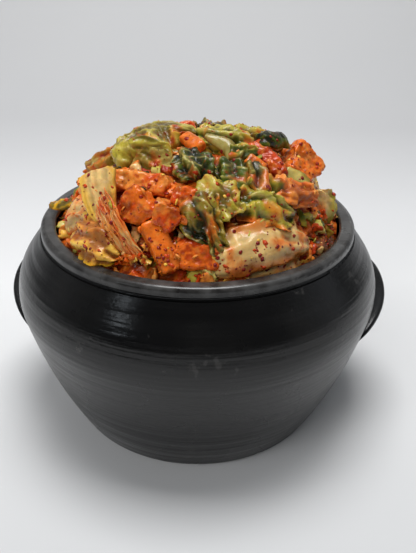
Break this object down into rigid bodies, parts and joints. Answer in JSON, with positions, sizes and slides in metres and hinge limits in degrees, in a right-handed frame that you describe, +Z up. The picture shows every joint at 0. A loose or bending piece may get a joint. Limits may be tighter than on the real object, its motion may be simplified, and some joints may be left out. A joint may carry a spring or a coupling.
{
  "type": "crock of kimchi",
  "caption": "Round glazed stoneware crock with a collared rim and small side lugs, heaped with cut chilli-dressed cabbage, radish and carrot kimchi.",
  "frame": {"origin": "centre of the crock's base, on the surface that it stands on", "axes": "+Z up, the two lugs on +X and -X, the heap's shown side towards -Y"},
  "size_m": [0.1784, 0.166, 0.1388],
  "materials": {
    "dark_glaze": "semi-gloss black-brown stoneware glaze",
    "dressed_kimchi": "wet chilli-dressed cut cabbage",
    "carrot": "wet cut carrot",
    "radish": "wet radish stained by chilli",
    "yellow_leaf": "wet inner cabbage leaf",
    "green_leaf": "wet outer cabbage leaf",
    "cabbage_rib": "wet white cabbage rib"
  },
  "bodies": {
    "root": {"cabbage_chunk_left": "cabbage_rib", "cabbage_chunk_right": "cabbage_rib", "cabbage_rib_back": "cabbage_rib", "cabbage_rib_front": "cabbage_rib", "cabbage_rib_side": "cabbage_rib", "cabbage_rib_under": "cabbage_rib", "carrot_bit_right": "carrot", "carrot_end_front": "carrot", "carrot_stick_back": "carrot", "carrot_stick_front": "carrot", "carrot_top": "carrot", "crock": "dark_glaze", "kimchi_heap": "dressed_kimchi", "leaf_back_left": "green_leaf", "leaf_back_low": "green_leaf", "leaf_back_middle": "green_leaf", "leaf_back_right": "green_leaf", "leaf_bits_left": "green_leaf", "leaf_cap_top": "green_leaf", "leaf_fold_front": "yellow_leaf", "leaf_fold_right": "yellow_leaf", "leaf_green_left": "green_leaf", "leaf_green_middle": "green_leaf", "leaf_green_right": "green_leaf", "leaf_hood_top": "green_leaf", "leaf_olive_front": "green_leaf", "leaf_pale_inner": "yellow_leaf", "leaf_ridge_top": "green_leaf", "leaf_ruffled_right": "green_leaf", "leaf_sunk_right": "green_leaf", "leaf_tip_left": "yellow_leaf", "leaf_triangle": "green_leaf", "leaf_vein_front": "green_leaf", "radish_chunk_back": "radish", "radish_chunk_centre": "radish", "radish_chunk_left": "radish", "radish_chunk_middle": "radish", "radish_chunk_red": "radish", "radish_chunk_top": "radish", "radish_slab_left": "radish", "radish_strip_top": "radish", "radish_tip_top": "radish", "rib_arc_top": "cabbage_rib", "stem_fan": "cabbage_rib", "stem_under_right": "cabbage_rib"}
  },
  "joints": []
}
